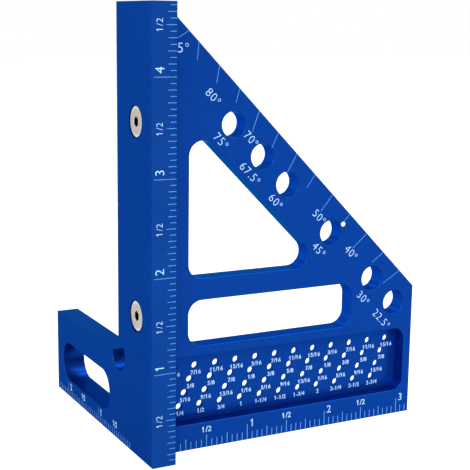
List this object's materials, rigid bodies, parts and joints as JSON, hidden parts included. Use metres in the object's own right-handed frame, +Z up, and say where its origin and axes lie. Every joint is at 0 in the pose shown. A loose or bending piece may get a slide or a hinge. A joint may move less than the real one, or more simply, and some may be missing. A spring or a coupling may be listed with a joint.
{
  "type": "multi-angle layout square",
  "caption": "L-shaped fence and triangular protractor plate, screwed square to each other, with angle holes, a scribing recess, windows and a slotted foot.",
  "frame": {"origin": "middle of the bounding box, on the surface that the bottom edges stand on", "axes": "+X along the protractor plate away from the fence, +Y from the scale side of the fence towards the foot's end, +Z up"},
  "size_m": [0.0878, 0.0742, 0.12],
  "materials": {
    "anodised_fence": "blue anodised, fine matte",
    "anodised_plate": "blue anodised, fine matte",
    "screw_steel": "nickel plated, turned",
    "engraved_marks": "bare metal and white fill of the engraved scales"
  },
  "bodies": {
    "root": {"fence": "anodised_fence", "protractor_plate": "anodised_plate", "clamp_screws": "screw_steel"}
  },
  "joints": []
}
